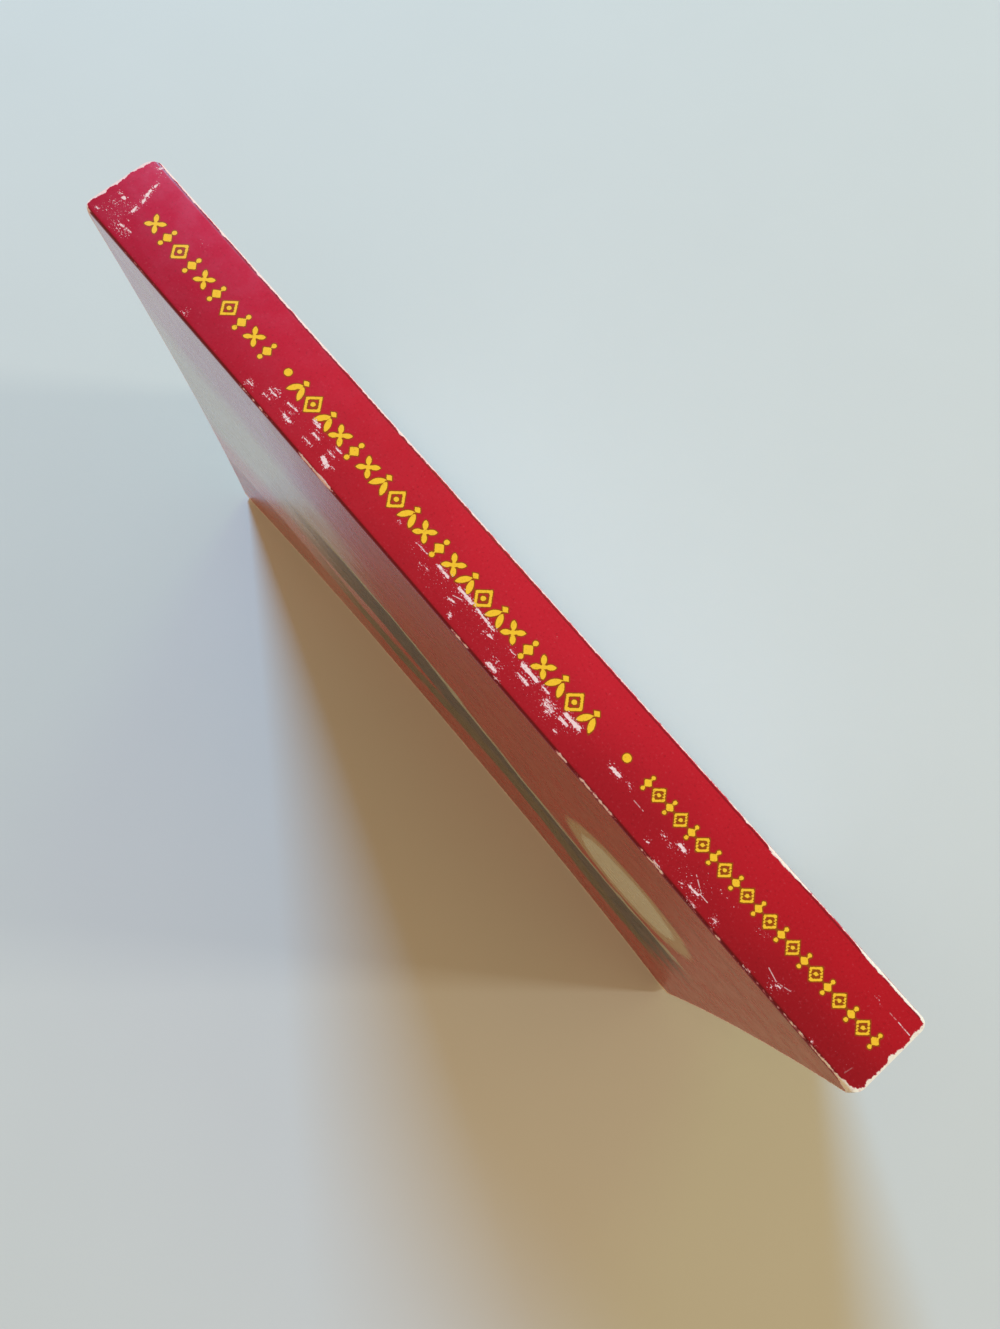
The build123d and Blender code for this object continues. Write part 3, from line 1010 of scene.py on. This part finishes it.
def leaf_paper(name):
    """Uncoated book paper: cream, browner towards the trimmed edges, each leaf a shade apart."""
    shader = Shader(name)
    place = shader.attribute("sheet", "Vector")
    x, height, number = shader.split(place)
    leaf_place = shader.add("ShaderNodeCombineXYZ", {0: number}).outputs[0]
    tone = shader.layers(
        PAPER,
        (from_cut_edge(shader, x, height), (16, 0), PAPER_BROWN),
        (shader.noise(leaf_place, *LEAF_SHADES), (0.3, 0.7, 0, 0.35), PAPER_DARK),
        (shader.noise(leaf_place, *LEAF_GROUPS), (0.42, 0.62, 0, 0.5), PAPER_GROUP),
        (shader.noise(place, *LEAF_FLECKS), (0.66, 0.74, 0, 0.4), PAPER_FLECK),
    )
    normal = shader.bump(shader.noise(place, *LEAF_GRAIN), 0.00005, 0.5)
    return shader.finish({"Base Color": tone, "Roughness": 0.85, "Normal": normal})


def hot_melt(name):
    """Aged adhesive: amber, with bubbles and a satin face."""
    shader = Shader(name)
    place = shader.object_place()
    tone = shader.mix(shader.noise(place, *GLUE_CLOUDS), GLUE_PALE, GLUE_DARK)
    bubble = shader.step(shader.noise(place, *GLUE_BUBBLES), 0.62, 0.72)
    normal = shader.bump(bubble, 0.0001, 0.5)
    return shader.finish({"Base Color": tone, "Roughness": 0.45, "Normal": normal})


def pale_floor(name):
    """Smooth pale board."""
    shader = Shader(name)
    place = shader.object_place()
    return shader.finish({
        "Base Color": shader.mix(shader.noise(place, *FLOOR_CLOUDS), FLOOR, FLOOR_DARK),
        "Roughness": 0.8,
        "Normal": shader.bump(shader.noise(place, *FLOOR_GRAIN), 0.00003, 0.3),
        "IOR": 1.25,
    })


def grid(first, second):
    """Two grids of places, rows by columns."""
    return np.meshgrid(first, second, indexing="ij")


def card_values(x, across):
    """Place on the flattened card, kept with each point so that the print stays on the card."""
    return np.stack([x, across, np.zeros(x.shape)], -1)


def spine_piece(materials):
    """Spine panel with its two folds and the upper part of both sides, as one fine mesh."""
    flat = np.linspace(-FLAT_HALF, FLAT_HALF, SPINE_FLAT)
    fold = np.linspace(FLAT_HALF, FOLD_END, SPINE_FOLD)[1:]
    down = np.linspace(FOLD_END, SEAM_ACROSS, SPINE_SIDE)[1:]
    side = np.concatenate([fold, down])
    across = np.concatenate([-side[::-1], flat, side])
    x, across = grid(np.linspace(-HALF_LENGTH, HALF_LENGTH, SPINE_ALONG), across)
    half = np.abs(across)
    outer = np.empty(x.shape + (3,))
    inner = np.empty(x.shape + (3,))
    for sign in (-1, 1):
        chosen = np.where(across < 0, -1, 1) == sign
        outer[chosen] = card_point(sign, x[chosen], half[chosen], 0)
        inner[chosen] = card_point(sign, x[chosen], half[chosen], CARD)
    place = card_values(outer[..., 0], across)
    rubbed, grains = scuff_values(outer[..., 0], across)
    wear = spine_wear(outer[..., 0], across, HALF_LENGTH + x, HALF_LENGTH - x)
    ink = ornament_ink(outer[..., 0], across)
    sheets = Sheets()
    sheets.add(outer, inner, card=place, wear=wear, scuff=rubbed, spray=grains, ink=ink)
    return sheets.piece("spine_card", materials)


def cover_piece(name, side, angle, materials):
    """One cover from below the fold to the fore edge, open by an angle."""
    bend = np.linspace(SEAM_ACROSS, SEAM_ACROSS + SEAM - BEND_FOOT, COVER_BEND)
    panel = np.linspace(bend[-1], EDGE_ACROSS, COVER_PANEL)[1:]
    end = np.linspace(0, END_REACH, COVER_END)
    between = np.linspace(END_REACH - HALF_LENGTH, HALF_LENGTH - END_REACH, COVER_ALONG)[1:-1]
    along = np.concatenate([end - HALF_LENGTH, between, HALF_LENGTH - end[::-1]])
    x, across = grid(along, np.concatenate([bend, panel]))
    outer = card_point(side, x, across, 0)
    inner = card_point(side, x, across, CARD)
    place = card_values(outer[..., 0], side * across)
    wear = cover_wear(x, across)
    if angle:
        outer = opened(outer, angle)
        inner = opened(inner, angle)
    sheets = Sheets()
    sheets.add(outer, inner, card=place, wear=wear, ink=np.full(x.shape, NO_INK))
    return sheets.piece(name, materials)


def leaf_leans(random):
    """How far each leaf leans out, from -1 to 1: evenly but for the gaps between the groups."""
    steps = random.uniform(*LEAF_GAPS, LEAF_COUNT - 1)
    steps[GROUP_FIRST::GROUP_SIZE] *= GROUP_GAP
    leans = np.concatenate([[0], np.cumsum(steps)])
    return leans / leans[-1] * 2 - 1


def leaves_piece(material):
    """All leaves, fanned at the fore edge in loose groups."""
    random = np.random.default_rng(LEAF_SEED)
    leans = leaf_leans(random)
    shares = (np.arange(LEAF_COUNT) + 0.5) / LEAF_COUNT * 2 - 1
    thickness = 2 * HALF_BLOCK / LEAF_COUNT
    half = LEAF_FILL * thickness
    foot = np.linspace(0, LIFT_REACH, LEAF_FOOT)
    panel = np.linspace(LIFT_REACH, CREASE, LEAF_PANEL)[1:]
    heights = np.concatenate([foot, panel, [BLOCK_TOP]])
    x, z = grid(np.linspace(-HALF_LENGTH, HALF_LENGTH, LEAF_ALONG), heights)
    sheets = Sheets()
    for number in range(LEAF_COUNT):
        side = 1 if shares[number] > 0 else -1
        place = abs(shares[number]) * (HALF_BLOCK - thickness / 2)
        trim_head = worn_inset(-1, side, place, TOP - z) + random.uniform(0, TRIM_SWING)
        trim_tail = worn_inset(1, side, place, TOP - z) + random.uniform(0, TRIM_SWING)
        leaf_x = shortened(x, trim_head, trim_tail)
        leaf_z = z + random.uniform(0, LEAF_LIFT) * np.clip(1 - z / LIFT_REACH, 0, 1)
        swell = flare(leaf_x, SWELL_MIDDLE, SWELL_END) * np.clip(1 - z / CREASE, 0, 1) ** LEAN_POWER
        y = side * place + leans[number] * swell
        outer = np.stack([leaf_x, y + half, leaf_z], -1)
        inner = np.stack([leaf_x, y - half, leaf_z], -1)
        sheet = np.stack([leaf_x, z, np.full(x.shape, number * SHADE_STEP)], -1)
        sheets.add(outer, inner, sheet=sheet)
    return sheets.piece("leaves", [material] * 3)


def softbox(name, azimuth, elevation, distance, spread, light_at_book):
    """Soft square panel of light aimed at the book."""
    data = bpy.data.lights.new(name, "AREA")
    data.shape = "SQUARE"
    data.size = 2 * distance * math.tan(math.radians(spread / 2))
    strength = max(light_at_book)
    data.energy = strength * math.pi * distance ** 2
    data.color = [value / strength for value in light_at_book]
    light = bpy.data.objects.new(name, data)
    turn = math.radians(azimuth)
    rise = math.radians(elevation)
    away = Vector((math.cos(turn) * math.cos(rise), math.sin(turn) * math.cos(rise), math.sin(rise)))
    light.location = distance * away
    light.rotation_euler = away.to_track_quat("Z", "Y").to_euler()
    bpy.context.scene.collection.objects.link(light)


def room_light(felt, seen):
    """Even light from all round, and what the camera sees past the floor."""
    world = bpy.data.worlds.new("room")
    bpy.context.scene.world = world
    world.use_nodes = True
    tree = world.node_tree
    tree.nodes.clear()
    path = tree.nodes.new("ShaderNodeLightPath")
    choose = tree.nodes.new("ShaderNodeMixShader")
    tree.links.new(path.outputs["Is Camera Ray"], choose.inputs[0])
    for number, tint in enumerate((felt, seen), 1):
        background = tree.nodes.new("ShaderNodeBackground")
        background.inputs[0].default_value = colour(tint)
        tree.links.new(background.outputs[0], choose.inputs[number])
    output = tree.nodes.new("ShaderNodeOutputWorld")
    tree.links.new(choose.outputs[0], output.inputs[0])


# The camera: its place in metres, its turns in degrees and its focal length on a 36 mm sensor
CAMERA_PLACE = (0.03997, -0.03056, 0.29771)
CAMERA_TURNS = (12.197, -1.120, 49.574)
CAMERA_LENS = 24.60
CAMERA_NEAR = 0.01

# Soft panels of light: azimuth from +X towards +Y and elevation in degrees, distance in metres,
# width in degrees as the book sees it, and the light that reaches the book
SOFTBOXES = [
    ("window", 154, 30, 4.0, 12, (1.32, 2.80, 4.36)),
    ("lamp", 44.9, 22, 2.5, 6, (0.92, 0.90, 0.72)),
    ("fill", 112, 42, 2.0, 14, (0.09, 0.20, 0.06)),
]
ROOM_FELT = (0.62, 0.445, 0.235)
ROOM_SEEN = (0.62, 0.66, 0.68)
FLOOR_SIZE = 8.0

camera_data = bpy.data.cameras.new("camera")
camera_data.lens = CAMERA_LENS
camera_data.clip_start = CAMERA_NEAR
camera = bpy.data.objects.new("camera", camera_data)
camera.location = CAMERA_PLACE
camera.rotation_euler = [math.radians(turn) for turn in CAMERA_TURNS]
bpy.context.scene.collection.objects.link(camera)
bpy.context.scene.camera = camera
bpy.context.scene.view_settings.view_transform = "Standard"

for values in SOFTBOXES:
    softbox(*values)
room_light(ROOM_FELT, ROOM_SEEN)

bpy.ops.mesh.primitive_plane_add(size=FLOOR_SIZE)
floor = bpy.context.object
floor.name = "floor"
floor.data.materials.append(pale_floor("floor_board"))

card_materials = [printed_card("card_print"), card_inside("card_inside"), card_edge("card_cut")]
spine = spine_piece(card_materials)
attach(spine, "book")
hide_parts("spine_cover")

for name, side, angle in (("back_card", -1, 0), ("front_card", 1, FRONT_ANGLE)):
    body = name.replace("card", "cover")
    card = cover_piece(name, side, angle, card_materials)
    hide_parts(body)
    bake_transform(card)

leaves = leaves_piece(leaf_paper("leaf_paper"))
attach(leaves, "book")
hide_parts("text_block")

glue = frame["nodes"]["spine_glue"]
glue.data.materials.clear()
glue.data.materials.append(hot_melt("hot_melt"))
